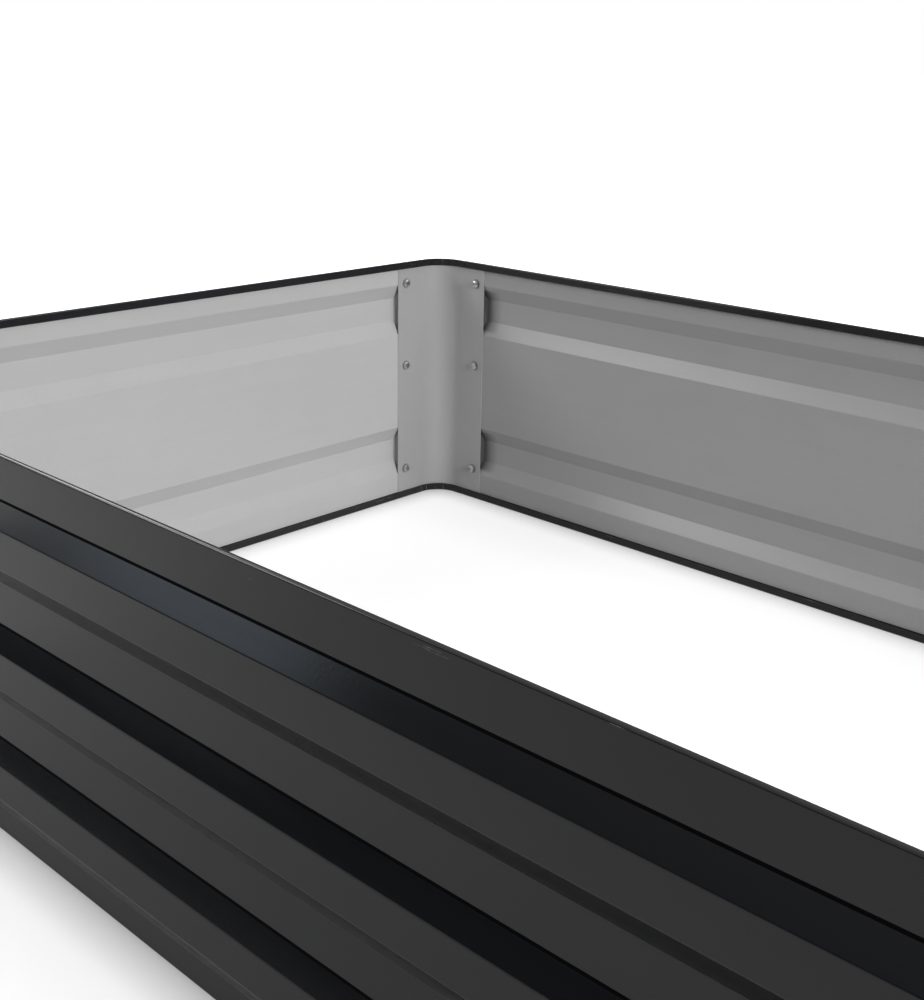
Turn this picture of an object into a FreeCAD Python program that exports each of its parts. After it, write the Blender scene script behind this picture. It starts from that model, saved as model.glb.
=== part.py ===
import FreeCAD, Part
import math
import os

import Sketcher

# Raised garden bed of pre-painted sheet steel, open at the top and the bottom. Four ribbed panels are
# bolted to a rounded post at each corner. Origin: centre of the base. +X runs along the bed, +Y across
# it, +Z up. Lengths are in millimetres.

SIZES = (
    # Overall, over the flats of the panels. The ribs stand further out.
    ("bed_length", 1500),
    ("bed_width", 800),
    ("bed_height", 300),
    ("sheet_thickness", 0.8),
    # Safety hem: the top and bottom edges of each sheet are folded inwards into a narrow channel.
    ("hem_width", 4),
    ("hem_height", 8),
    ("hem_bend", 1.4),
    # Pressed ribs: trapezoid in section, with closed ends, standing out of the panel's outer face.
    ("rib_depth", 8.6),
    ("rib_base", 61.5),
    ("rib_crest", 28),
    ("rib_end_run", 5.5),
    ("rib_bend", 2),
    ("rib_washer_gap", 1),
    # Middle of the lowest rib above the ground, middle of the highest rib below the rim, and the ribs'
    # count.
    ("front_rib_low", 53),
    ("front_rib_high", 61),
    ("front_ribs", 3),
    ("plain_rib_low", 63.5),
    ("plain_rib_high", 57.5),
    ("plain_ribs", 2),
    # Corner posts: the curve's outer radius, the hemmed flat on each side of it, and the flanges that lie
    # behind the panels' ends.
    ("corner_radius", 32),
    ("corner_flat", 12),
    ("panel_seam", 0.7),
    ("flange_edge", 13.8),
    ("flange_tuck", 3),
    ("flange_corner", 2.5),
    # Bolts: how far past the post's hemmed part they sit, and their heights. The highest is measured from
    # the rim.
    ("bolt_inset", 16.2),
    ("bolt_low", 38),
    ("bolt_middle", 172),
    ("bolt_below_rim", 26),
    ("hole_clearance", 0.5),
    # M5 pan-head screw with a cross recess, flat washer and hexagon nut.
    ("screw_diameter", 5),
    ("screw_length", 10),
    ("head_diameter", 9.5),
    ("head_height", 3.7),
    ("head_rim", 1.4),
    ("recess_span", 4.4),
    ("recess_width", 1.2),
    ("recess_depth", 1.8),
    ("washer_diameter", 10),
    ("washer_clearance", 0.3),
    ("washer_thickness", 1),
    ("nut_width", 8),
    ("nut_height", 4),
    ("thread_clearance", 0.1),
)

# Places that several pieces share: distances along a panel, from the outer plane of the panel round the
# corner.
CURVE_END = "(Sizes.sheet_thickness + Sizes.corner_radius)"
POST_HEM_END = f"({CURVE_END} + Sizes.corner_flat)"
PANEL_END = f"({POST_HEM_END} + Sizes.panel_seam)"
BOLT_LINE = f"({POST_HEM_END} + Sizes.bolt_inset)"
FLANGE_END = f"({BOLT_LINE} + Sizes.flange_edge)"
RIB_END = f"({BOLT_LINE} + Sizes.washer_diameter / 2 + Sizes.rib_washer_gap)"

RIM = "Sizes.bed_height"
# On the curve of a post, a chamfer takes as much off the hem's fold as the bend does on a panel.
HEM_CHAMFER = "(2 - sqrt(2)) * Sizes.hem_bend"
BOLT_HOLE = "Sizes.screw_diameter + Sizes.hole_clearance"
BOLT_HEIGHTS = ("Sizes.bolt_low", "Sizes.bolt_middle", f"({RIM} - Sizes.bolt_below_rim)")

# The small round forms repeat many times, so they have few flat sides: rims this many, and shanks,
# bores and bolt holes that many.
RIM_SIDES = 12
BORE_SIDES = 8

TOLERANCE = 1e-4
UP = FreeCAD.Vector(0, 0, 1)

doc = FreeCAD.newDocument("raised_garden_bed")
sheet = doc.addObject("Spreadsheet::Sheet", "Sizes")
for row, (alias, number) in enumerate(SIZES, 1):
    sheet.set(f"A{row}", alias)
    sheet.set(f"B{row}", str(number))
    sheet.setAlias(f"B{row}", alias)
doc.recompute()


def size(alias):
    """The number that the sheet holds under this name."""
    return float(sheet.get(alias))


def near(a, b):
    return abs(a - b) < TOLERANCE


def bind(feature, expressions):
    for name, expression in expressions.items():
        feature.setExpression(name, expression)


def new_body(name):
    body = doc.addObject("PartDesign::Body", name)
    body.Label = name
    return body


def origin_feature(body, role):
    return next(f for f in body.Origin.OriginFeatures if f.Role == role)


def add_feature(body, kind, name, **properties):
    feature = body.newObject(f"PartDesign::{kind}", f"{body.Name}_{name}")
    for key, value in properties.items():
        setattr(feature, key, value)
    return feature


def sketch_on(body, role, name, **offsets):
    """An empty sketch on one of the body's own origin planes, moved by the given expressions."""
    sketch = body.newObject("Sketcher::SketchObject", f"{body.Name}_{name}")
    sketch.AttachmentSupport = (origin_feature(body, role), [""])
    sketch.MapMode = "FlatFace"
    bind(sketch, {f"AttachmentOffset.Base.{axis}": text for axis, text in offsets.items()})
    return sketch


def hold(sketch, constraint, expression):
    """Adds a constraint and binds its value to an expression."""
    index = sketch.addConstraint(constraint)
    sketch.setExpression(f"Constraints[{index}]", expression)


def place_point(sketch, geometry, point, x, y):
    hold(sketch, Sketcher.Constraint("DistanceX", -1, 1, geometry, point, 1.0), x)
    hold(sketch, Sketcher.Constraint("DistanceY", -1, 1, geometry, point, 1.0), y)


def draw_outline(sketch, corners):
    """A closed outline of straight sides through the corners, each a pair of expressions."""
    count = len(corners)
    turns = [math.tau * i / count for i in range(count)]
    ring = [FreeCAD.Vector(math.cos(turn), math.sin(turn), 0) for turn in turns]
    sides = [Part.LineSegment(ring[i - 1], ring[i]) for i in range(count)]
    lines = sketch.addGeometry(sides, False)
    for i in range(count):
        sketch.addConstraint(Sketcher.Constraint("Coincident", lines[i - 1], 2, lines[i], 1))
    for line, (x, y) in zip(lines, corners):
        place_point(sketch, line, 1, x, y)


def draw_polygon(sketch, x, y, diameter, sides):
    """A regular polygon with its corners on the circle of this diameter round x and y."""
    turns = [360 / sides * i for i in range(sides)]
    radius = f"({diameter}) / 2"
    corners = [(f"{x} + {radius} * cos({t} deg)", f"{y} + {radius} * sin({t} deg)") for t in turns]
    draw_outline(sketch, corners)


def dress_edges(body, kind, name, amount, wanted):
    """Gives a fillet or a chamfer to those edges of the body's last feature that wanted(edge) picks."""
    doc.recompute()
    base = body.Tip
    edges = [f"Edge{i}" for i, edge in enumerate(base.Shape.Edges, 1) if wanted(edge)]
    feature = add_feature(body, kind, name, Base=(base, edges))
    bind(feature, {"Radius" if kind == "Fillet" else "Size": amount})


def pocket(body, name, sketch, depth=None):
    """Cuts the sketch into the body, right through or to a depth, and makes sure that it cuts."""
    doc.recompute()
    before = body.Shape.Volume
    feature = add_feature(body, "Pocket", name, Profile=sketch, Type="Length" if depth else "ThroughAll")
    if depth:
        bind(feature, {"Length": depth})
    doc.recompute()
    if not body.Shape.Volume < before - TOLERANCE:
        raise RuntimeError(f"{body.Label}: {name} cuts nothing")


# ------------------------------------------------------------------------------------------ hemmed sheet


def hemmed_section(outer, hem_face):
    """Corners of an upright sheet's section, with a hem folded inwards at its top and at its bottom.
    outer and hem_face are the places of the sheet's outer face and of the hem's inner side."""
    inner = f"({outer} + Sizes.sheet_thickness)"
    leg = f"({hem_face} - Sizes.sheet_thickness)"
    under_rim = f"({RIM} - Sizes.sheet_thickness)"
    hem_edge = f"({RIM} - Sizes.hem_height)"
    return (
        (outer, "0"),
        (hem_face, "0"),
        (hem_face, "Sizes.hem_height"),
        (leg, "Sizes.hem_height"),
        (leg, "Sizes.sheet_thickness"),
        (inner, "Sizes.sheet_thickness"),
        (inner, under_rim),
        (leg, under_rim),
        (leg, hem_edge),
        (hem_face, hem_edge),
        (hem_face, RIM),
        (outer, RIM),
    )


def hem_folds(*heights):
    """Picks the long level edges at these heights, where a hem is folded."""
    shortest = 2 * size("hem_width")

    def wanted(edge):
        box = edge.BoundBox
        level = near(box.ZMin, box.ZMax)
        return level and edge.Length > shortest and any(near(box.ZMin, z) for z in heights)

    return wanted


# ---------------------------------------------------------------------------------------- ribbed panels


def wall_inset(run):
    """How much smaller, on each side, the hollow behind a sloping wall is than the wall's outer form,
    where the wall rises by the rib's depth over this run."""
    return f"(Sizes.sheet_thickness * (hypot({run}; Sizes.rib_depth) - {run}) / Sizes.rib_depth)"


def rib_wedge(body, kind, name, length, middle, side_inset, end_inset, set_in):
    """A frustum with its long axis along X, wide on the panel and narrow at the rib's crest."""
    base_end = f"({length} / 2 - {RIB_END} - {end_inset})"
    crest_end = f"({base_end} - Sizes.rib_end_run)"
    base_side = f"(Sizes.rib_base / 2 - {side_inset})"
    crest_side = f"(Sizes.rib_crest / 2 - {side_inset})"
    wedge = add_feature(body, kind, name)
    bind(
        wedge,
        {
            "Ymin": f"{set_in} - Sizes.rib_depth",
            "Xmin": f"-{crest_end}",
            "Xmax": crest_end,
            "Zmin": f"{middle} - {crest_side}",
            "Zmax": f"{middle} + {crest_side}",
            "Ymax": set_in,
            "X2min": f"-{base_end}",
            "X2max": base_end,
            "Z2min": f"{middle} - {base_side}",
            "Z2max": f"{middle} + {base_side}",
        },
    )
    return wedge


def press_ribs(body, length, ribs):
    """Presses the ribs out of the sheet: one rib as an outer form less its hollow, repeated up the panel."""
    low = f"Sizes.{ribs}_rib_low"
    side_run = "((Sizes.rib_base - Sizes.rib_crest) / 2)"
    form = rib_wedge(body, "AdditiveWedge", "rib_form", length, low, "0", "0", "0")
    hollow = rib_wedge(
        body,
        "SubtractiveWedge",
        "rib_hollow",
        length,
        low,
        wall_inset(side_run),
        wall_inset("Sizes.rib_end_run"),
        "Sizes.sheet_thickness",
    )
    doc.recompute()
    if not hollow.Shape.Volume < form.Shape.Volume - TOLERANCE:
        raise RuntimeError(f"{body.Label}: the rib stays solid")
    pattern = add_feature(
        body,
        "LinearPattern",
        "ribs",
        Originals=[form, hollow],
        Direction=(origin_feature(body, "Z_Axis"), [""]),
        Mode="Extent",
    )
    bind(
        pattern,
        {
            "Length": f"{RIM} - {low} - Sizes.{ribs}_rib_high",
            "Occurrences": f"Sizes.{ribs}_ribs",
        },
    )
    body.Tip = pattern


def bend_sheet(body, half_length):
    """Rounds the folds of the hems and of the ribs. A rib's fold is rounder by the sheet's thickness on
    its outer side."""
    depth = size("rib_depth")
    thickness = size("sheet_thickness")

    def fold_in(face):
        def wanted(edge):
            box = edge.BoundBox
            in_plane = near(box.YMin, face) and near(box.YMax, face)
            return in_plane and max(-box.XMin, box.XMax) < half_length - size("hem_width")

        return wanted

    dress_edges(body, "Fillet", "hem_folds", "Sizes.hem_bend", hem_folds(0, size("bed_height")))
    inside = "Sizes.rib_bend"
    outside = "Sizes.rib_bend + Sizes.sheet_thickness"
    dress_edges(body, "Fillet", "crest_outside", outside, fold_in(-depth))
    dress_edges(body, "Fillet", "crest_inside", inside, fold_in(thickness - depth))
    dress_edges(body, "Fillet", "foot_outside", inside, fold_in(0))
    dress_edges(body, "Fillet", "foot_inside", outside, fold_in(thickness))


def make_panel(name, length, ribs, x, y, turn):
    """A panel whose own frame has its outer face in the XZ plane and the bed's inside on its +Y side.
    length is the bed's size along it, ribs the family of its ribs, and x and y the place of its outer
    plane."""
    body = new_body(name)
    section = sketch_on(body, "YZ_Plane", "section")
    draw_outline(section, hemmed_section("0", "Sizes.hem_width"))
    blank = add_feature(body, "Pad", "blank", Profile=section, Midplane=True)
    bind(blank, {"Length": f"{length} - 2 * {PANEL_END}"})
    press_ribs(body, length, ribs)
    doc.recompute()
    bend_sheet(body, blank.Length.Value / 2)
    holes = sketch_on(body, "XZ_Plane", "hole_places")
    for side in ("-", ""):
        for height in BOLT_HEIGHTS:
            draw_polygon(holes, f"{side}({length} / 2 - {BOLT_LINE})", height, BOLT_HOLE, BORE_SIDES)
    pocket(body, "bolt_holes", holes)
    body.Placement = FreeCAD.Placement(FreeCAD.Vector(0, 0, 0), FreeCAD.Rotation(UP, turn))
    bind(body, {"Placement.Base.x": x, "Placement.Base.y": y})
    return body


# ----------------------------------------------------------------------------------------- corner posts


def add_flange(body, role, name, set_in):
    """A flat plate with three bolt holes, tucked into the panel's hems at its top and its bottom.
    set_in moves the sketch plane to the side of the plate from which the pad goes out."""
    low = "(Sizes.hem_height - Sizes.flange_tuck)"
    high = f"({RIM} - {low})"
    outline = sketch_on(body, role, f"{name}_outline", z=set_in)
    corners = ((POST_HEM_END, low), (FLANGE_END, low), (FLANGE_END, high), (POST_HEM_END, high))
    draw_outline(outline, corners)
    for height in BOLT_HEIGHTS:
        draw_polygon(outline, BOLT_LINE, height, BOLT_HOLE, BORE_SIDES)
    plate = add_feature(body, "Pad", name, Profile=outline)
    bind(plate, {"Length": "Sizes.sheet_thickness"})
    doc.recompute()


def make_post(name, x, y, turn):
    """A corner post whose own frame has the bed's corner at the origin, where the outer planes of two
    panels cross, and the bed's inside on its +X and +Y side. Its sheet lies behind the panels'
    sheet."""
    body = new_body(name)
    section = sketch_on(body, "XZ_Plane", "section", x=CURVE_END, z=f"-{CURVE_END}")
    hem_face = f"(Sizes.hem_width - {CURVE_END})"
    draw_outline(section, hemmed_section("-Sizes.corner_radius", hem_face))
    curve = add_feature(body, "Revolution", "curve", Profile=section, ReferenceAxis=(section, ["V_Axis"]))
    curve.Angle = 90
    y_flat = add_feature(body, "Pad", "y_flat", Profile=section, Reversed=True)
    x_section = sketch_on(body, "YZ_Plane", "x_section", z=CURVE_END)
    draw_outline(x_section, hemmed_section("Sizes.sheet_thickness", "Sizes.hem_width"))
    x_flat = add_feature(body, "Pad", "x_flat", Profile=x_section)
    for flat in (x_flat, y_flat):
        bind(flat, {"Length": "Sizes.corner_flat"})
    dress_edges(body, "Chamfer", "hem_folds", HEM_CHAMFER, hem_folds(0, size("bed_height")))
    add_flange(body, "XZ_Plane", "x_flange", "-2 * Sizes.sheet_thickness")
    add_flange(body, "YZ_Plane", "y_flange", "Sizes.sheet_thickness")
    doc.recompute()
    reach = max(vertex.X for vertex in body.Shape.Vertexes)

    def free_corner(edge):
        box = edge.BoundBox
        across = near(edge.Length, size("sheet_thickness")) and near(box.ZMin, box.ZMax)
        return across and (near(box.XMax, reach) or near(box.YMax, reach))

    dress_edges(body, "Chamfer", "flange_corners", "Sizes.flange_corner", free_corner)
    body.Placement = FreeCAD.Placement(FreeCAD.Vector(0, 0, 0), FreeCAD.Rotation(UP, turn))
    bind(body, {"Placement.Base.x": x, "Placement.Base.y": y})
    return body


# -------------------------------------------------------------------------------------------- fasteners


def make_screw():
    """Pan-head screw along Z: the head above its seat at z = 0, the shank below."""
    body = new_body("pan_head_screw")
    shank_end = sketch_on(body, "XY_Plane", "shank_outline")
    draw_polygon(shank_end, "0", "0", "Sizes.screw_diameter", BORE_SIDES)
    shank = add_feature(body, "Pad", "shank", Profile=shank_end, Reversed=True)
    bind(shank, {"Length": "Sizes.screw_length"})
    rim = sketch_on(body, "XY_Plane", "rim_outline")
    draw_polygon(rim, "0", "0", "Sizes.head_diameter", RIM_SIDES)
    head = add_feature(body, "Pad", "head", Profile=rim)
    bind(head, {"Length": "Sizes.head_height"})
    doc.recompute()
    top = size("head_height")

    def around_top(edge):
        return near(edge.BoundBox.ZMin, top)

    dress_edges(body, "Chamfer", "shoulder", "Sizes.head_height - Sizes.head_rim", around_top)
    recess = sketch_on(body, "XY_Plane", "recess_outline", z="Sizes.head_height")
    long, short = "Sizes.recess_span / 2", "Sizes.recess_width / 2"
    quadrant = ((long, short), (short, short), (short, long))
    cross = []
    for sign_x, sign_y, order in (("", "", 1), ("-", "", -1), ("-", "-", 1), ("", "-", -1)):
        cross += [(f"{sign_x}{x}", f"{sign_y}{y}") for x, y in quadrant[::order]]
    draw_outline(recess, cross)
    pocket(body, "recess", recess, "Sizes.recess_depth")
    return body


def make_washer():
    """Flat washer along Z, with its upper face at z = 0."""
    body = new_body("flat_washer")
    outline = sketch_on(body, "XY_Plane", "outline")
    draw_polygon(outline, "0", "0", "Sizes.washer_diameter", RIM_SIDES)
    draw_polygon(outline, "0", "0", "Sizes.screw_diameter + Sizes.washer_clearance", BORE_SIDES)
    disc = add_feature(body, "Pad", "disc", Profile=outline, Reversed=True)
    bind(disc, {"Length": "Sizes.washer_thickness"})
    return body


def make_nut():
    """Hexagon nut along Z, with its upper face at z = 0."""
    body = new_body("hexagon_nut")
    outline = sketch_on(body, "XY_Plane", "outline")
    draw_polygon(outline, "0", "0", "Sizes.nut_width / cos(30 deg)", 6)
    draw_polygon(outline, "0", "0", "Sizes.screw_diameter + Sizes.thread_clearance", BORE_SIDES)
    block = add_feature(body, "Pad", "block", Profile=outline, Reversed=True)
    bind(block, {"Length": "Sizes.nut_height"})
    return body


def fasten(name, fastener, side_x, side_y, set_in):
    """A corner's six fasteners as one node: three through each flange. set_in is how far their seat
    lies inwards of the panels' outer planes. side_x and side_y are the corner's signs."""
    along_x = f"(Sizes.bed_length / 2 - {BOLT_LINE})"
    along_y = f"(Sizes.bed_width / 2 - {BOLT_LINE})"
    seat_x = f"(Sizes.bed_length / 2 - {set_in})"
    seat_y = f"(Sizes.bed_width / 2 - {set_in})"
    walls = (
        (along_x, seat_y, FreeCAD.Vector(0, -side_y, 0)),
        (seat_x, along_y, FreeCAD.Vector(-side_x, 0, 0)),
    )
    copies = []
    for x, y, inwards in walls:
        for height in BOLT_HEIGHTS:
            copy = doc.addObject("App::Link", f"{name}_{len(copies) + 1}")
            copy.LinkedObject = fastener
            turned = FreeCAD.Rotation(UP, inwards)
            copy.Placement = FreeCAD.Placement(FreeCAD.Vector(0, 0, 0), turned)
            bind(
                copy,
                {
                    "Placement.Base.x": f"{side_x} * {x}",
                    "Placement.Base.y": f"{side_y} * {y}",
                    "Placement.Base.z": height,
                },
            )
            copies.append(copy)
    group = doc.addObject("Part::Compound", name)
    group.Label = name
    group.Links = copies
    return group


# --------------------------------------------------------------------------------------------- assembly

HALF_LENGTH = "Sizes.bed_length / 2"
HALF_WIDTH = "Sizes.bed_width / 2"

nodes = [
    make_panel("front_panel", "Sizes.bed_length", "front", "0", f"-{HALF_WIDTH}", 0),
    make_panel("right_panel", "Sizes.bed_width", "plain", HALF_LENGTH, "0", 90),
    make_panel("back_panel", "Sizes.bed_length", "plain", "0", HALF_WIDTH, 180),
    make_panel("left_panel", "Sizes.bed_width", "plain", f"-{HALF_LENGTH}", "0", 270),
]

screw = make_screw()
washer = make_washer()
nut = make_nut()

CORNERS = (
    ("front_left", -1, -1, 0),
    ("front_right", 1, -1, 90),
    ("back_right", 1, 1, 180),
    ("back_left", -1, 1, 270),
)
for corner, side_x, side_y, turn in CORNERS:
    nodes += [
        make_post(f"corner_post_{corner}", f"{side_x} * {HALF_LENGTH}", f"{side_y} * {HALF_WIDTH}", turn),
        fasten(f"screws_{corner}", screw, side_x, side_y, "2 * Sizes.sheet_thickness"),
        fasten(f"washers_{corner}", washer, side_x, side_y, "0"),
        fasten(f"nuts_{corner}", nut, side_x, side_y, "-Sizes.washer_thickness"),
    ]
doc.recompute()

for item in doc.Objects:
    if {"Invalid", "Error"} & set(item.State):
        raise RuntimeError(f"{item.Name} failed: {item.State}")
for node in nodes:
    if node.Shape.isNull() or not node.Shape.isValid():
        raise RuntimeError(f"{node.Label} has no valid shape")

os.makedirs("parts", exist_ok=True)
for node in nodes:
    node.Shape.exportStep(f"parts/{node.Label}.step")
    box = node.Shape.BoundBox
    print(
        f"{node.Label}: {len(node.Shape.Solids)} solid(s), {node.Shape.Volume / 1000:.1f} cm3,",
        f"{box.XLength:.1f} x {box.YLength:.1f} x {box.ZLength:.1f} mm",
    )
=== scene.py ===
import math
import random

import bmesh
import bpy
from mathutils import Matrix, Vector


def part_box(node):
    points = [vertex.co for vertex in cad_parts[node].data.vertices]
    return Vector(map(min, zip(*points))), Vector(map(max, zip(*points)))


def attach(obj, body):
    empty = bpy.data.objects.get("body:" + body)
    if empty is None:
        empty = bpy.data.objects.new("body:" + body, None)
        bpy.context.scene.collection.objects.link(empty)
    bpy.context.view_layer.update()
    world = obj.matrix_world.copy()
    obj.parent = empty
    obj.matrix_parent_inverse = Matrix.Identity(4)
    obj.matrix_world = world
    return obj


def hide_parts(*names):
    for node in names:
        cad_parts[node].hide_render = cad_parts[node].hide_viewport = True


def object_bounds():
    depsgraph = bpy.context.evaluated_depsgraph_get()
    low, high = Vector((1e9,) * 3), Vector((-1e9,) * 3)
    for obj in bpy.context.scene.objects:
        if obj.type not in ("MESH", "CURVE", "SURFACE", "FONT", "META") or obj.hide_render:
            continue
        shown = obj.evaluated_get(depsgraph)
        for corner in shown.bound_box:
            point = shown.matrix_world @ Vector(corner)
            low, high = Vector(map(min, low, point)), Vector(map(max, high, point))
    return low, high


# Looks for the raised garden bed. The sheet-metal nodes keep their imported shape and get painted-steel
# materials. The screws, washers and nuts are replaced by detailed meshes. Lengths are in metres.

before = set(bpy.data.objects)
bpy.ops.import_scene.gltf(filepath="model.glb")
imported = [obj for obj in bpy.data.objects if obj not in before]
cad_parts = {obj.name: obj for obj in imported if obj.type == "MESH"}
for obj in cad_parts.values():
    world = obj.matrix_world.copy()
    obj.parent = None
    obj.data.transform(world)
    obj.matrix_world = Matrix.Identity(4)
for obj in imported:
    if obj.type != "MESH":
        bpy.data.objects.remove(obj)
cad_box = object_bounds()

MM = 0.001
UP = Vector((0, 0, 1))
RIM_HEIGHT = cad_box[1][2]

# The sheet, and the band at its top and its bottom that shows the paint of the hem's outer side.
SHEET_THICKNESS = 0.8 * MM
HEM_HEIGHT = 8 * MM

# Bolts and the flanges' free edges: how far from the outer plane of the wall round the corner, and the
# bolts' heights.
BOLT_RUN = 61 * MM
FLANGE_END = 74.8 * MM
BOLT_HEIGHTS = (38 * MM, 172 * MM, RIM_HEIGHT - 26 * MM)

# The ribs: their depth, how far their ends lie from the wall's end, and the heights of their upper folds on
# the front panel and on the others.
RIB_DEPTH = 8.6 * MM
RIB_FOOT = 67 * MM
FRONT_FOLDS = (269.75 * MM, 176.75 * MM, 83.75 * MM)
PLAIN_FOLDS = (273.25 * MM, 94.25 * MM)

# Painted shade in the ribs' hollow ends beside the posts' flanges, where the flanges shade them: dark as far
# as the end slope reaches, and lighter further along, fading out. Both start and are full at these depths
# into the hollow.
SLOPE_END = 73.5 * MM
SHADE_FADE_END = 97 * MM
DEEP_SHADE_STRENGTH = 0.97
FADING_SHADE_STRENGTH = 0.75
HOLLOW_START = 1 * MM
HOLLOW_FULL = 3 * MM

# The painted shade line under each outer fold, where the fold is shaded: how far below the fold its centre
# lies, half its width, and its look.
CREASE_BELOW = 0.6 * MM
CREASE_HALF = 0.8 * MM
CREASE_ROUGH = 0.85
CREASE_SPECULAR = 0.05
PLAIN_SPECULAR = 0.5

# The painted shade ring round each screw's head, where the head shades the flange: it fades out between these
# distances.
RING_START = 5.2 * MM
RING_END = 6.4 * MM
RING_STRENGTH = 0.45

# The paints. A roughness is the range over the rolling's streaks. Then how far a face has to look outwards,
# and how far past a hem it may lie, to count as coated, and how far from the corner a flange's cut edge is.
OUTER_ROUGH = (0.15, 0.2)
PANEL_ROUGH = (0.3, 0.38)
POST_ROUGH = (0.42, 0.5)
PANEL_METAL = 0.0
POST_METAL = 0.5
COAT_FACING = 0.05
HEM_SLACK = 0.1 * MM
CUT_REACH = FLANGE_END - 0.5 * MM

# M5 pan-head screw.
SHANK_RADIUS = 2.5 * MM
SHANK_LENGTH = 10 * MM
THREAD_PITCH = 0.8 * MM
THREAD_DEPTH = 0.4 * MM
THREAD_LENGTH = 4.4 * MM
THREAD_FLANK = 1.25
THREAD_TIP = 0.5 * MM
HEAD_RADIUS = 4.75 * MM
HEAD_HEIGHT = 3.7 * MM
HEAD_RIM = 1.0 * MM
HEAD_EDGE = 0.3 * MM
DOME_RISE = 0.9
DOME_ROUND = 0.8
RECESS_SPAN = 3.8 * MM
RECESS_WIDTH = 0.9 * MM
RECESS_DEPTH = 1.5 * MM
RECESS_TAPER = 0.5
RECESS_ABOVE = 1 * MM
RECESS_FLARE = 1.1

# Flat washer and hexagon nut.
WASHER_RADIUS = 5 * MM
WASHER_BORE = 2.65 * MM
WASHER_THICKNESS = 1 * MM
WASHER_EDGE = 0.15 * MM
NUT_WIDTH = 8 * MM
NUT_HEIGHT = 4 * MM
NUT_BORE = 2.55 * MM
NUT_BEVEL = 0.4 * MM
NUT_CHAMFER_RADIUS = 3.8 * MM
NUT_CHAMFER = math.radians(30)

# How finely the fasteners are made: sides round, rings in a turn of thread and in a dome, the distance at
# which points join, and the angle from which an edge looks sharp.
TURNED_SIDES = 60
THREAD_STEPS = 10
DOME_STEPS = 14
WELD = 0.001 * MM
SMOOTH_ANGLE = math.radians(32)

# Camera: solved from the photograph's edges. The lens is for a 36 mm sensor along the taller side.
CAMERA_PLACE = Vector((0.3947, -0.7778, 0.5514))
CAMERA_AZIMUTH = math.radians(43.07)
CAMERA_PITCH = math.radians(19.19)
CAMERA_ROLL = math.radians(-1.08)
CAMERA_LENS = 47.27
CAMERA_SENSOR = 36

# The floor: its half size, its glow beside the bed, how far off it turns white, how far the bed's contact
# shadow reaches, and its glow in reflections.
FLOOR_REACH = 30
FLOOR_GLOW = 0.63
FLOOR_FADE = 0.5
CONTACT_REACH = 40 * MM
MIRRORED_FLOOR = 0.1

# The sky: the heights of direction between which it brightens, and its strengths there, in its light and in
# reflections.
SKY_LOW = 0.15
SKY_HIGH = 0.6
HORIZON = 0.01
ZENITH = 0.15
MIRRORED_ZENITH = 0.6

# Colours, linear.
CHARCOAL = (0.0095, 0.0102, 0.012, 1)
INNER_GREY = (0.43, 0.43, 0.43, 1)
POST_GREY = (0.54, 0.54, 0.54, 1)
FLOOR_WHITE = (0.6, 0.6, 0.6, 1)
PLAIN_LIGHT = (1, 1, 1)
WINDOW_BLUE = (0.74, 0.87, 1.0)
CUT_EDGE = (0.8, 0.81, 0.82, 1)
# Painted shade, for the ribs' ends beside the flanges and the rings round the screws' heads.
PAINTED_SHADE = (0.035, 0.035, 0.035, 1)
# Painted shade under the outer folds.
CREASE_SHADE = (0.003, 0.003, 0.0035, 1)
ZINC = (0.72, 0.73, 0.74, 1)


# ----------------------------------------------------------------------------------------- shader nodes


class Shader:
    """The node tree of a material or a world, with short calls to add nodes and to join them."""

    def __init__(self, name, kind=bpy.data.materials):
        self.material = kind.new(name)
        self.material.use_nodes = True
        self.tree = self.material.node_tree
        self.surface = self.tree.nodes.get("Principled BSDF")

    def set(self, socket, value):
        if isinstance(value, bpy.types.NodeSocket):
            self.tree.links.new(value, socket)
        else:
            socket.default_value = value

    def add(self, kind, output, inputs, **options):
        """A node of this kind. inputs maps its sockets, by name or number, to values or other sockets."""
        node = self.tree.nodes.new(f"ShaderNode{kind}")
        for key, value in options.items():
            setattr(node, key, value)
        for key, value in inputs.items():
            self.set(node.inputs[key], value)
        return node.outputs[output]

    def math(self, operation, *values):
        return self.add("Math", 0, dict(enumerate(values)), operation=operation)

    def mix(self, factor, first, second):
        """Blends two colours."""
        inputs = {0: factor, 6: first, 7: second}
        return self.add("Mix", 2, inputs, data_type="RGBA")

    def tint(self, factor, colour, brightness):
        """Multiplies a colour by a grey brightness, as far as the factor says."""
        grey = self.add("CombineColor", 0, {0: brightness, 1: brightness, 2: brightness})
        inputs = {0: factor, 6: colour, 7: grey}
        return self.add("Mix", 2, inputs, data_type="RGBA", blend_type="MULTIPLY")

    def coordinates(self, stretch=(1, 1, 1)):
        place = self.add("TexCoord", "Object", {})
        return self.add("Mapping", 0, {"Vector": place, "Scale": stretch})

    def noise(self, where, scale, detail=2.0, roughness=0.5):
        inputs = {"Vector": where, "Scale": scale, "Detail": detail, "Roughness": roughness}
        return self.add("TexNoise", 0, inputs)

    def span(self, value, low, high, new_low, new_high):
        """Maps value from one range to another, held within the new range."""
        inputs = {0: value, 1: low, 2: high, 3: new_low, 4: new_high}
        return self.add("MapRange", 0, inputs)

    def bump(self, height, distance, strength=1.0, normal=None):
        inputs = {"Height": height, "Distance": distance, "Strength": strength}
        if normal:
            inputs["Normal"] = normal
        return self.add("Bump", 0, inputs)

    def finish(self, **sockets):
        for name, value in sockets.items():
            self.set(self.surface.inputs[name.replace("_", " ")], value)
        return self.material


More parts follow.
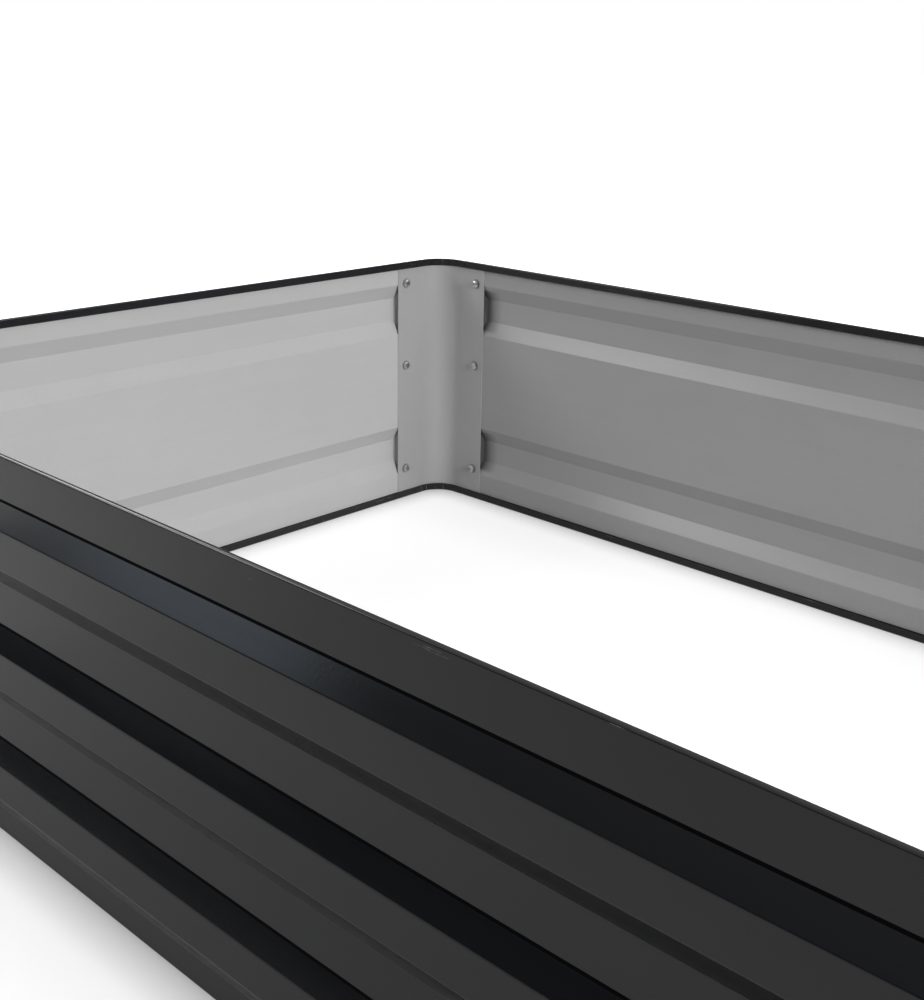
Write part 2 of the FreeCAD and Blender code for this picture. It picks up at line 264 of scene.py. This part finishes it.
def coat_mask(shader, outward):
    """1 where the outer coat of paint shows, on faces that look outwards and on both hems, and 1 on the hems
    alone."""
    normal = shader.add("TexCoord", "Normal", {})
    facing = shader.add("VectorMath", "Value", {0: normal, 1: outward}, operation="DOT_PRODUCT")
    outside = shader.math("GREATER_THAN", facing, COAT_FACING)
    place = shader.add("TexCoord", "Object", {})
    height = shader.add("SeparateXYZ", "Z", {0: place})
    rim = shader.math("GREATER_THAN", height, RIM_HEIGHT - HEM_HEIGHT - HEM_SLACK)
    foot = shader.math("LESS_THAN", height, HEM_HEIGHT + HEM_SLACK)
    hems = shader.math("MAXIMUM", rim, foot)
    return shader.math("MAXIMUM", outside, hems), hems


def cut_mask(shader, corner, reach):
    """1 on the cut edges of a post's flanges, which lie further than reach from the corner along a wall."""
    place = shader.add("TexCoord", "Object", {})
    away = shader.add("VectorMath", 0, {0: place, 1: corner}, operation="SUBTRACT")
    away = shader.add("VectorMath", 0, {0: away}, operation="ABSOLUTE")
    along_x = shader.add("SeparateXYZ", "X", {0: away})
    along_y = shader.add("SeparateXYZ", "Y", {0: away})
    return shader.math("GREATER_THAN", shader.math("MAXIMUM", along_x, along_y), reach)


def rib_end_shade_mask(shader, box):
    """Painted shade in the ribs' hollow ends beside the posts' flanges, on a long wall, where the flanges
    shade
    them: dark on the ribs' end slopes, lighter on their floors and fading out along them. box is the panel's
    box."""
    place = shader.add("TexCoord", "Object", {})
    sides = shader.add("VectorMath", 0, {0: place}, operation="ABSOLUTE")
    along = shader.add("SeparateXYZ", "X", {0: sides})
    across = shader.add("SeparateXYZ", "Y", {0: sides})
    wall_end = cad_box[1][0] - RIB_DEPTH
    slope = shader.math("GREATER_THAN", along, wall_end - SLOPE_END)
    deep_shade = shader.math("MULTIPLY", slope, DEEP_SHADE_STRENGTH)
    fading_shade = shader.span(along, wall_end - SHADE_FADE_END, wall_end - FLANGE_END, 0, FADING_SHADE_STRENGTH)
    flat = max(abs(box[0][1]), abs(box[1][1])) - RIB_DEPTH
    hollow = shader.span(across, flat + HOLLOW_START, flat + HOLLOW_FULL, 0, 1)
    return shader.math("MULTIPLY", shader.math("MAXIMUM", deep_shade, fading_shade), hollow)


def fold_shade_mask(shader, outward, heights):
    """1 in narrow level bands centred on these heights, as long as the ribs, where shade is painted under the
    folds.
    """
    place = shader.add("TexCoord", "Object", {})
    sides = shader.add("VectorMath", 0, {0: place}, operation="ABSOLUTE")
    long_wall = outward[0] == 0
    along = shader.add("SeparateXYZ", "X" if long_wall else "Y", {0: sides})
    wall_end = cad_box[1][0 if long_wall else 1] - RIB_DEPTH
    beside = shader.math("LESS_THAN", along, wall_end - RIB_FOOT)
    height = shader.add("SeparateXYZ", "Z", {0: place})
    bands = [shader.math("COMPARE", height, centre, CREASE_HALF) for centre in heights]
    mask = bands[0]
    for band in bands[1:]:
        mask = shader.math("MAXIMUM", mask, band)
    return shader.math("MULTIPLY", mask, beside)


def shade_ring_mask(shader, centres):
    """The strength of a painted shade ring round each of these places."""
    place = shader.add("TexCoord", "Object", {})
    gaps = []
    for centre in centres:
        inputs = {0: place, 1: centre}
        gaps.append(shader.add("VectorMath", "Value", inputs, operation="DISTANCE"))
    nearest = gaps[0]
    for gap in gaps[1:]:
        nearest = shader.math("MINIMUM", nearest, gap)
    near = shader.span(nearest, RING_START, RING_END, 1, 0)
    return shader.math("MULTIPLY", near, RING_STRENGTH)


def sheet_paint(
    name, outward, inner, grain, inner_metal, inner_rough, corner=None, bolts=None, ribs=None, folds=None
):
    """Paint on rolled sheet: charcoal outside and on the hems, and the inner colour, metal share and
    roughness inside. grain stretches the faint streaks of the rolling along the sheet. corner is the place of
    a post's corner, for the bare cut edges of its flanges. bolts are the places of its screws' seats, for the
    painted shade rings round them. ribs is the box of a long panel, for the painted shade in its ribs' ends.
    folds are the heights of the painted shade lines under a panel's outer folds."""
    shader = Shader(name)
    coat, hems = coat_mask(shader, outward)
    even = shader.coordinates()
    streaked = shader.coordinates(grain)
    clouds = shader.noise(even, 14, 3)
    streaks = shader.noise(streaked, 90, 3, 0.6)
    specks = shader.noise(even, 900, 2, 0.6)
    base = shader.mix(coat, inner, CHARCOAL)
    base = shader.tint(1.0, base, shader.span(clouds, 0.3, 0.7, 0.985, 1.01))
    base = shader.tint(1.0, base, shader.span(streaks, 0.3, 0.7, 0.985, 1.01))
    base = shader.tint(0.6, base, shader.span(specks, 0.35, 0.65, 0.95, 1.04))
    scuffs = shader.noise(shader.coordinates(tuple(1.6 * g for g in grain)), 240, 4, 0.7)
    rubbed = shader.math("MULTIPLY", shader.span(scuffs, 0.66, 0.74, 0, 0.35), hems)
    base = shader.mix(rubbed, base, CUT_EDGE)
    if corner:
        base = shader.mix(cut_mask(shader, corner, CUT_REACH), base, CUT_EDGE)
    # Painted shade in the ribs' ends beside the flanges, where the flanges shade the hollows.
    if ribs:
        inside = shader.math("SUBTRACT", 1.0, coat)
        rib_shade = shader.math("MULTIPLY", rib_end_shade_mask(shader, ribs), inside)
        patchy_shade = shader.math("MULTIPLY", rib_shade, shader.span(clouds, 0.3, 0.7, 0.9, 1))
        base = shader.mix(patchy_shade, base, PAINTED_SHADE)
    rough_inside = shader.span(streaks, 0.25, 0.75, *inner_rough)
    rough_outside = shader.span(streaks, 0.25, 0.75, *OUTER_ROUGH)
    rough = shader.add("Mix", 0, {0: coat, 2: rough_inside, 3: rough_outside})
    # Painted shade: a near-black line under each outer fold.
    if folds:
        outer = shader.math("SUBTRACT", coat, hems)
        fold_shade = shader.math("MULTIPLY", fold_shade_mask(shader, outward, folds), outer)
        base = shader.mix(fold_shade, base, CREASE_SHADE)
        rough = shader.add("Mix", 0, {0: fold_shade, 2: rough, 3: CREASE_ROUGH})
        shader.finish(Specular_IOR_Level=shader.span(fold_shade, 0, 1, PLAIN_SPECULAR, CREASE_SPECULAR))
    # Painted shade round each screw's head, where the head meets the flange.
    if bolts:
        base = shader.mix(shade_ring_mask(shader, bolts), base, PAINTED_SHADE)
    peel = shader.noise(even, 420, 2, 0.5)
    waves = shader.noise(streaked, 9, 1, 0.4)
    relief = shader.bump(waves, 1.2 * MM, 0.35)
    relief = shader.bump(peel, 0.05 * MM, 0.5, relief)
    if inner_metal:
        bare = shader.math("SUBTRACT", 1.0, coat)
        shader.finish(Metallic=shader.math("MULTIPLY", bare, inner_metal))
    return shader.finish(Base_Color=base, Roughness=rough, Normal=relief)


def zinc_plate(name, tone, low_rough, high_rough, scratch_scale):
    """Bright zinc on steel, slightly cloudy, with fine scratches."""
    shader = Shader(name)
    even = shader.coordinates()
    clouds = shader.noise(even, 260, 3, 0.6)
    scratches = shader.noise(shader.coordinates((1, 1, 7)), scratch_scale, 3, 0.7)
    base = shader.tint(1.0, tone, shader.span(clouds, 0.3, 0.7, 0.86, 1.06))
    base = shader.tint(0.5, base, shader.span(scratches, 0.35, 0.65, 0.85, 1.05))
    rough = shader.span(clouds, 0.3, 0.7, low_rough, high_rough)
    relief = shader.bump(scratches, 0.03 * MM, 0.6)
    return shader.finish(Base_Color=base, Roughness=rough, Metallic=1.0, Normal=relief)


# -------------------------------------------------------------------------------------- turned fasteners


def turn_rings(mesh, rings, sides=TURNED_SIDES):
    """Joins rings round Z into a surface. A ring is a radius and a height, or a function that gives both for
    an angle. A ring of no radius is one point."""
    rows = []
    for ring in rings:
        if not callable(ring) and ring[0] == 0:
            rows.append([mesh.verts.new((0, 0, ring[1]))] * sides)
            continue
        row = []
        for i in range(sides):
            angle = math.tau * i / sides
            radius, height = ring(angle) if callable(ring) else ring
            row.append(mesh.verts.new((radius * math.cos(angle), radius * math.sin(angle), height)))
        rows.append(row)
    for low, high in zip(rows, rows[1:]):
        for i in range(sides):
            j = (i + 1) % sides
            corners = []
            for vertex in (low[i], low[j], high[j], high[i]):
                if vertex not in corners:
                    corners.append(vertex)
            if len(corners) > 2:
                mesh.faces.new(corners)
    return rows


def close_ring(mesh, row):
    mesh.faces.new(row)


def mesh_from(build, name):
    """The mesh that a function builds, with its faces turned outwards."""
    work = bmesh.new()
    build(work)
    bmesh.ops.recalc_face_normals(work, faces=work.faces)
    mesh = bpy.data.meshes.new(name)
    work.to_mesh(mesh)
    work.free()
    return mesh


def thread_ring(height):
    """A ring round the shank whose radius follows the thread's helix."""

    def ring(angle):
        turn = (height / THREAD_PITCH - angle / math.tau) % 1
        crest = 1 - abs(2 * turn - 1)
        tip = max(0.0, height + SHANK_LENGTH)
        limit = SHANK_RADIUS - max(0.0, THREAD_TIP - tip)
        radius = SHANK_RADIUS - THREAD_DEPTH * (1 - min(1.0, THREAD_FLANK * crest))
        return min(radius, limit), height

    return ring


def build_screw_body(mesh):
    """Pan-head screw along Z with its seat at z = 0, before the recess is cut."""
    steps = round(THREAD_LENGTH / THREAD_PITCH * THREAD_STEPS)
    rings = [thread_ring(-SHANK_LENGTH + THREAD_LENGTH * i / steps) for i in range(steps + 1)]
    rings += [
        (SHANK_RADIUS, -SHANK_LENGTH + THREAD_LENGTH + THREAD_PITCH / 2),
        (SHANK_RADIUS, 0),
        (HEAD_RADIUS - HEAD_EDGE, 0),
        (HEAD_RADIUS, HEAD_EDGE),
        (HEAD_RADIUS, HEAD_RIM),
    ]
    for i in range(1, DOME_STEPS + 1):
        angle = math.pi / 2 * i / DOME_STEPS
        rise = math.sin(angle) ** DOME_RISE
        radius = HEAD_RADIUS * math.cos(angle) ** DOME_ROUND if i < DOME_STEPS else 0
        rings.append((radius, HEAD_RIM + (HEAD_HEIGHT - HEAD_RIM) * rise))
    rows = turn_rings(mesh, rings)
    close_ring(mesh, rows[0])


def build_recess(mesh):
    """The tapered cross that is cut out of a screw's head."""
    long, short = RECESS_SPAN / 2, RECESS_WIDTH / 2
    quadrant = [(long, short), (short, short), (short, long)]
    outline = []
    for quarter in range(4):
        turn = Matrix.Rotation(quarter * math.pi / 2, 2)
        outline += [turn @ Vector(corner) for corner in quadrant]
    levels = ((HEAD_HEIGHT - RECESS_DEPTH, RECESS_TAPER), (HEAD_HEIGHT + RECESS_ABOVE, RECESS_FLARE))
    rows = []
    for height, share in levels:
        rows.append([mesh.verts.new((x * share, y * share, height)) for x, y in outline])
    low, high = rows
    count = len(outline)
    for i in range(count):
        j = (i + 1) % count
        mesh.faces.new((low[i], low[j], high[j], high[i]))
    mesh.faces.new(low)
    mesh.faces.new(high)


def screw_mesh():
    """The screw with its cross recess cut."""
    body = bpy.data.objects.new("screw_body", mesh_from(build_screw_body, "screw_body"))
    cutter = bpy.data.objects.new("recess_cutter", mesh_from(build_recess, "recess_cutter"))
    for helper in (body, cutter):
        bpy.context.scene.collection.objects.link(helper)
    cut = body.modifiers.new("recess", "BOOLEAN")
    cut.operation = "DIFFERENCE"
    cut.object = cutter
    cut.solver = "EXACT"
    shown = body.evaluated_get(bpy.context.evaluated_depsgraph_get())
    mesh = bpy.data.meshes.new_from_object(shown)
    for helper in (body, cutter):
        bpy.data.objects.remove(helper)
    return mesh


def build_washer(mesh):
    """Flat washer along Z with its upper face at z = 0."""
    edge = WASHER_EDGE
    rings = [
        (WASHER_BORE, -edge),
        (WASHER_BORE + edge, 0),
        (WASHER_RADIUS - edge, 0),
        (WASHER_RADIUS, -edge),
        (WASHER_RADIUS, edge - WASHER_THICKNESS),
        (WASHER_RADIUS - edge, -WASHER_THICKNESS),
        (WASHER_BORE + edge, -WASHER_THICKNESS),
        (WASHER_BORE, edge - WASHER_THICKNESS),
        (WASHER_BORE, -edge),
    ]
    turn_rings(mesh, rings)
    bmesh.ops.remove_doubles(mesh, verts=mesh.verts, dist=WELD)


def build_nut(mesh):
    """Hexagon nut along Z with its upper face at z = 0, both faces chamfered round their corners."""

    def hexagon(angle):
        sector = (angle % (math.pi / 3)) - math.pi / 6
        return NUT_WIDTH / 2 / math.cos(sector)

    def shoulder(top, sign):
        def ring(angle):
            radius = hexagon(angle)
            drop = max(0.0, radius - NUT_CHAMFER_RADIUS) * math.tan(NUT_CHAMFER)
            return radius, top - sign * drop

        return ring

    base = -NUT_HEIGHT
    rings = [
        (NUT_BORE, -NUT_BEVEL),
        (NUT_BORE + NUT_BEVEL, 0),
        (NUT_CHAMFER_RADIUS, 0),
        shoulder(0, 1),
        shoulder(base, -1),
        (NUT_CHAMFER_RADIUS, base),
        (NUT_BORE + NUT_BEVEL, base),
        (NUT_BORE, base + NUT_BEVEL),
        (NUT_BORE, -NUT_BEVEL),
    ]
    turn_rings(mesh, rings)
    bmesh.ops.remove_doubles(mesh, verts=mesh.verts, dist=WELD)


def bolt_places(side_x, side_y):
    """Place on the wall's outer plane, and the inward direction, of each of a corner's six bolts."""
    low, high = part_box(f"corner_post_{corner_name(side_x, side_y)}")
    plane_x = low[0] if side_x < 0 else high[0]
    plane_y = low[1] if side_y < 0 else high[1]
    places = []
    for height in BOLT_HEIGHTS:
        places.append((Vector((plane_x - side_x * BOLT_RUN, plane_y, height)), Vector((0, -side_y, 0))))
    for height in BOLT_HEIGHTS:
        places.append((Vector((plane_x, plane_y - side_y * BOLT_RUN, height)), Vector((-side_x, 0, 0))))
    return places


def corner_name(side_x, side_y):
    return ("front" if side_y < 0 else "back") + ("_left" if side_x < 0 else "_right")


def fasten(kind, mesh, set_in, step, material):
    """Sets six copies of a fastener at each corner, as one piece that stands for the corner's CAD node. Each
    copy is turned by a chance angle of up to one step."""
    chance = random.Random(kind)
    for side_x, side_y in ((-1, -1), (1, -1), (1, 1), (-1, 1)):
        node = f"{kind}_{corner_name(side_x, side_y)}"
        work = bmesh.new()
        for place, inwards in bolt_places(side_x, side_y):
            copy = mesh.copy()
            spin = Matrix.Rotation(chance.uniform(0, step), 4, "Z")
            aim = UP.rotation_difference(inwards).to_matrix().to_4x4()
            copy.transform(Matrix.Translation(place + set_in * inwards) @ aim @ spin)
            work.from_mesh(copy)
            bpy.data.meshes.remove(copy)
        joined = bpy.data.meshes.new(f"{node}_detail")
        work.to_mesh(joined)
        work.free()
        joined.shade_smooth()
        joined.set_sharp_from_angle(angle=SMOOTH_ANGLE)
        joined.materials.append(material)
        piece = bpy.data.objects.new(f"{node}_detail", joined)
        bpy.context.scene.collection.objects.link(piece)
        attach(piece, "root")
        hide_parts(node)


# ---------------------------------------------------------------------------------------- the sheet nodes


def paint(node, material):
    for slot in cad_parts[node].material_slots:
        slot.material = material


LONG_GRAIN = (0.06, 1, 1)
CROSS_GRAIN = (1, 0.06, 1)
UPRIGHT_GRAIN = (1, 1, 0.08)

PANELS = (
    ("front_panel", (0, -1, 0), LONG_GRAIN),
    ("right_panel", (1, 0, 0), CROSS_GRAIN),
    ("back_panel", (0, 1, 0), LONG_GRAIN),
    ("left_panel", (-1, 0, 0), CROSS_GRAIN),
)
for node, outward, grain in PANELS:
    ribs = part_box(node) if outward[1] else None
    tops = FRONT_FOLDS if node == "front_panel" else PLAIN_FOLDS
    folds = [top - CREASE_BELOW for top in tops]
    look = sheet_paint(
        f"{node}_paint", outward, INNER_GREY, grain, PANEL_METAL, PANEL_ROUGH, ribs=ribs, folds=folds
    )
    paint(node, look)

for side_x in (-1, 1):
    for side_y in (-1, 1):
        corner = corner_name(side_x, side_y)
        node = f"corner_post_{corner}"
        low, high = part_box(node)
        place = (low[0] if side_x < 0 else high[0], low[1] if side_y < 0 else high[1], 0)
        outward = (side_x, side_y, 0)
        bolts = [spot + 2 * SHEET_THICKNESS * inwards for spot, inwards in bolt_places(side_x, side_y)]
        look = sheet_paint(
            f"{node}_paint", outward, POST_GREY, UPRIGHT_GRAIN, POST_METAL, POST_ROUGH, place, bolts
        )
        paint(node, look)

quarter_turn = math.pi / 2
fasten(
    "screws",
    screw_mesh(),
    2 * SHEET_THICKNESS,
    quarter_turn,
    zinc_plate("screw_zinc", ZINC, 0.28, 0.4, 1400),
)
fasten(
    "washers",
    mesh_from(build_washer, "washer"),
    0,
    math.tau,
    zinc_plate("washer_zinc", ZINC, 0.24, 0.4, 1100),
)
fasten(
    "nuts",
    mesh_from(build_nut, "nut"),
    -WASHER_THICKNESS,
    math.pi / 3,
    zinc_plate("nut_zinc", ZINC, 0.22, 0.38, 1000),
)


# ------------------------------------------------------------------------------------------------ stage


def add_floor():
    """A pale floor. It shows as white to the camera apart from the bed's soft contact shadow, and its
    reflections in the paint have a glow of their own."""
    work = bmesh.new()
    bmesh.ops.create_grid(work, x_segments=1, y_segments=1, size=FLOOR_REACH)
    mesh = bpy.data.meshes.new("floor")
    work.to_mesh(mesh)
    work.free()
    floor = bpy.data.objects.new("floor", mesh)
    bpy.context.scene.collection.objects.link(floor)
    shader = Shader("floor_white")
    shader.finish(Base_Color=FLOOR_WHITE, Roughness=0.9)
    place = shader.add("TexCoord", "Object", {})
    sides = shader.add("VectorMath", 0, {0: place}, operation="ABSOLUTE")
    past = shader.add("VectorMath", 0, {0: sides, 1: cad_box[1]}, operation="SUBTRACT")
    past_x = shader.add("SeparateXYZ", "X", {0: past})
    past_y = shader.add("SeparateXYZ", "Y", {0: past})
    away = shader.math("MAXIMUM", past_x, past_y)
    rays = shader.tree.nodes.new("ShaderNodeLightPath")
    seen = shader.math("MAXIMUM", rays.outputs["Is Camera Ray"], rays.outputs["Is Transmission Ray"])
    open_floor = shader.add("AmbientOcclusion", "AO", {"Distance": CONTACT_REACH}, samples=8)
    level = shader.math("MULTIPLY", shader.span(away, 0, FLOOR_FADE, FLOOR_GLOW, 1), open_floor)
    shown = shader.math("MULTIPLY", seen, level)
    mirrored = shader.math("MULTIPLY", rays.outputs["Is Glossy Ray"], MIRRORED_FLOOR)
    strength = shader.math("MAXIMUM", shown, mirrored)
    glow = shader.add("Emission", 0, {"Color": (1, 1, 1, 1), "Strength": strength})
    both = shader.add("AddShader", 0, {0: shader.surface.outputs[0], 1: glow})
    shader.set(shader.tree.nodes["Material Output"].inputs["Surface"], both)
    mesh.materials.append(shader.material)


def add_world():
    """Soft grey light, stronger overhead than at the horizon, which shows as white behind the bed."""
    shader = Shader("sky", bpy.data.worlds)
    bpy.context.scene.world = shader.material
    background = shader.tree.nodes["Background"]
    direction = shader.add("TexCoord", "Generated", {})
    height = shader.add("SeparateXYZ", "Z", {0: direction})
    light = shader.span(height, SKY_LOW, SKY_HIGH, HORIZON, ZENITH)
    glance = shader.span(height, SKY_LOW, SKY_HIGH, HORIZON, MIRRORED_ZENITH)
    rays = shader.tree.nodes.new("ShaderNodeLightPath")
    seen = shader.math("MAXIMUM", rays.outputs["Is Camera Ray"], rays.outputs["Is Transmission Ray"])
    mirrored = shader.math("MULTIPLY", rays.outputs["Is Glossy Ray"], glance)
    shown = shader.math("MAXIMUM", seen, mirrored)
    shader.set(background.inputs["Strength"], shader.math("MAXIMUM", shown, light))
    shader.set(background.inputs["Color"], (1, 1, 1, 1))


def add_lamp(name, place, aim, size, power, colour, mirrored):
    """A rectangular lamp. One that isn't mirrored is hidden from reflections."""
    lamp = bpy.data.lights.new(name, "AREA")
    lamp.shape = "RECTANGLE"
    lamp.size, lamp.size_y = size
    lamp.energy = power
    lamp.color = colour
    holder = bpy.data.objects.new(name, lamp)
    holder.location = place
    holder.rotation_euler = (Vector(aim) - Vector(place)).to_track_quat("-Z", "Y").to_euler()
    holder.visible_glossy = mirrored
    bpy.context.scene.collection.objects.link(holder)


def add_camera():
    """The camera, from its azimuth, its pitch down and its roll."""
    a, e, r = CAMERA_AZIMUTH, CAMERA_PITCH, CAMERA_ROLL
    forward = Vector((-math.sin(a) * math.cos(e), math.cos(a) * math.cos(e), -math.sin(e)))
    level = Vector((math.cos(a), math.sin(a), 0))
    down = forward.cross(level)
    right = math.cos(r) * level + math.sin(r) * down
    up = math.sin(r) * level - math.cos(r) * down
    turn = Matrix((right, up, -forward)).transposed().to_4x4()
    lens = bpy.data.cameras.new("camera")
    lens.lens = CAMERA_LENS
    lens.sensor_width = CAMERA_SENSOR
    camera = bpy.data.objects.new("camera", lens)
    camera.matrix_world = Matrix.Translation(CAMERA_PLACE) @ turn
    bpy.context.scene.collection.objects.link(camera)
    bpy.context.scene.camera = camera


# Name, place, the point it faces, size, power, colour, and whether reflections show it.
LAMPS = (
    ("side_lamp", (3.6, -0.3, 1.5), (-0.6, 0.0, 0.15), (2.0, 1.4), 180, PLAIN_LIGHT, False),
    ("back_lamp", (-1.5, 3.2, 1.8), (0.0, 0.0, 0.1), (2.4, 1.6), 80, PLAIN_LIGHT, False),
    ("top_lamp", (0.86, 1.25, 2.74), (-0.5, 0.2, 0.1), (0.7, 0.6), 12, PLAIN_LIGHT, True),
    ("slope_lamp", (-1.8, -1.3, 1.35), (-0.45, 0.4, 0.14), (0.8, 0.5), 9.5, PLAIN_LIGHT, True),
    ("window_lamp", (-2.71, -2.54, 0.98), (-0.2, -0.4, 0.27), (0.8, 0.47), 1.45, WINDOW_BLUE, True),
    ("end_lamp", (-3.25, -1.975, 0.91), (-0.35, -0.4, 0.27), (0.35, 0.45), 0.8, PLAIN_LIGHT, True),
    ("rim_lamp", (-3.0, 0.3, 2.0), (-0.25, -0.4, 0.3), (1.4, 1.0), 24, PLAIN_LIGHT, True),
)

add_camera()
add_floor()
add_world()
for lamp in LAMPS:
    add_lamp(*lamp)

bpy.context.scene.view_settings.view_transform = "Standard"
